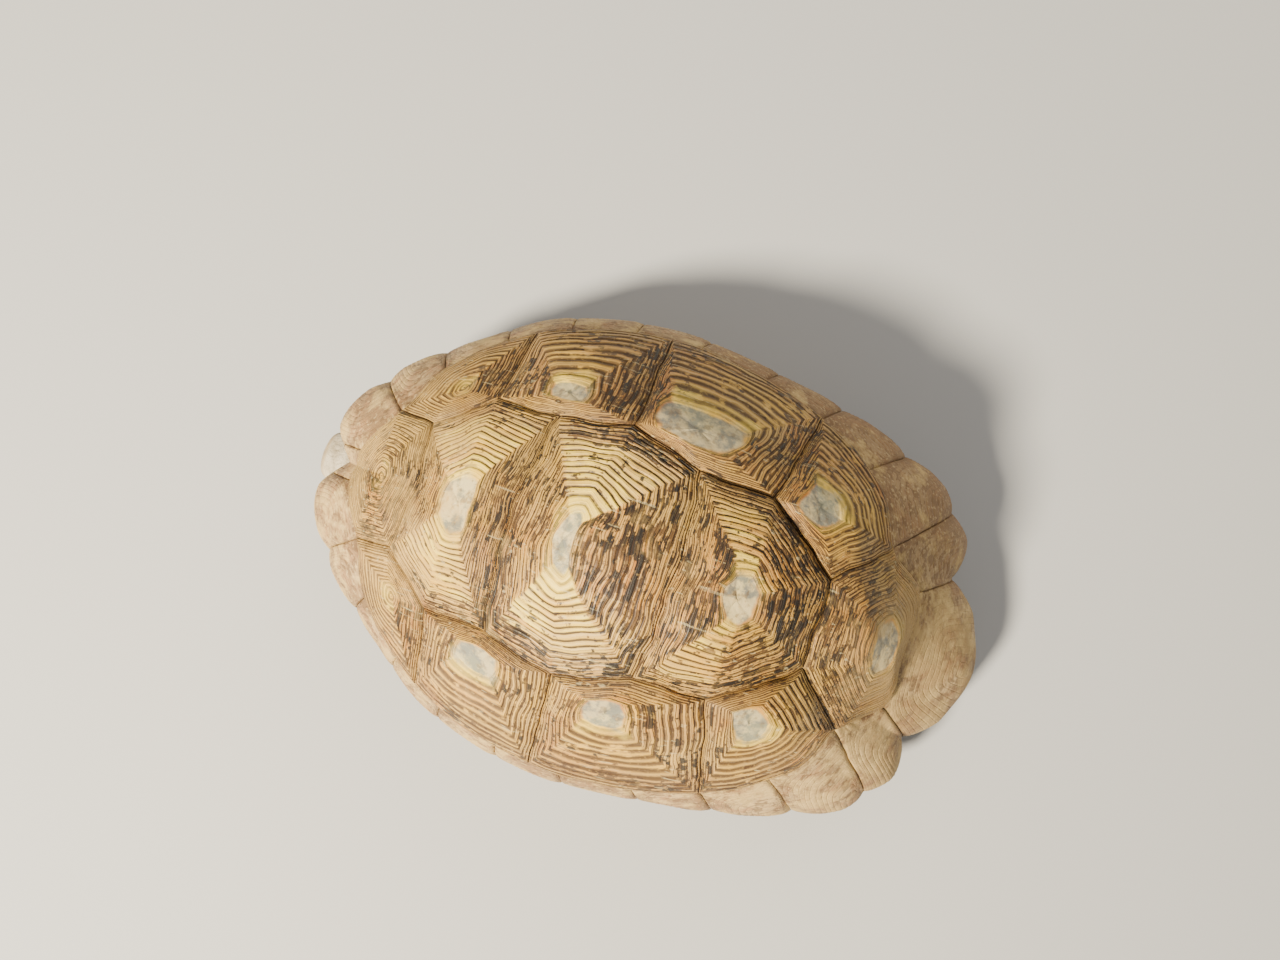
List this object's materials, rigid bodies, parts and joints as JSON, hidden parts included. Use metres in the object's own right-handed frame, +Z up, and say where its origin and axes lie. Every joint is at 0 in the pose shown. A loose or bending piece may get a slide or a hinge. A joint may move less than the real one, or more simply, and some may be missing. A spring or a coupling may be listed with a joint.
{
  "type": "tortoise",
  "caption": "Still life-size land tortoise with a domed, ringed horn shell, resting on its plastron with its head just out and its legs under the rim.",
  "frame": {"origin": "on the floor under the middle of the model's box", "axes": "+Z up, head towards -Y, tail towards +Y, the animal's left side towards +X"},
  "size_m": [0.1454, 0.2228, 0.1067],
  "materials": {
    "horn": "worn ringed horn, brown and straw",
    "rim_horn": "dusty worn horn",
    "plastron_horn": "smooth worn horn, straw with dark patches",
    "skin": "dry scaly skin",
    "head_skin": "dry skin with flat scales",
    "eye": "wet and glossy"
  },
  "bodies": {
    "root": {"vertebral_1": "horn", "vertebral_2": "horn", "vertebral_3": "horn", "vertebral_4": "horn", "vertebral_5": "horn", "costal_left_1": "horn", "costal_left_2": "horn", "costal_left_3": "horn", "costal_left_4": "horn", "marginal_left_1": "rim_horn", "marginal_left_2": "rim_horn", "marginal_left_3": "rim_horn", "marginal_left_4": "rim_horn", "marginal_left_5": "rim_horn", "marginal_left_6": "rim_horn", "marginal_left_7": "rim_horn", "marginal_left_8": "rim_horn", "marginal_left_9": "rim_horn", "marginal_left_10": "rim_horn", "marginal_left_11": "rim_horn", "costal_right_1": "horn", "costal_right_2": "horn", "costal_right_3": "horn", "costal_right_4": "horn", "marginal_right_1": "rim_horn", "marginal_right_2": "rim_horn", "marginal_right_3": "rim_horn", "marginal_right_4": "rim_horn", "marginal_right_5": "rim_horn", "marginal_right_6": "rim_horn", "marginal_right_7": "rim_horn", "marginal_right_8": "rim_horn", "marginal_right_9": "rim_horn", "marginal_right_10": "rim_horn", "marginal_right_11": "rim_horn", "nuchal": "rim_horn", "supracaudal": "rim_horn", "gular_left": "plastron_horn", "humeral_left": "plastron_horn", "pectoral_left": "plastron_horn", "abdominal_left": "plastron_horn", "femoral_left": "plastron_horn", "anal_left": "plastron_horn", "gular_right": "plastron_horn", "humeral_right": "plastron_horn", "pectoral_right": "plastron_horn", "abdominal_right": "plastron_horn", "femoral_right": "plastron_horn", "anal_right": "plastron_horn", "trunk": "skin", "neck": "skin", "tail": "skin", "head": "head_skin", "leg_front_left": "skin", "leg_hind_left": "skin", "eye_left": "eye", "leg_front_right": "skin", "leg_hind_right": "skin", "eye_right": "eye"}
  },
  "joints": []
}
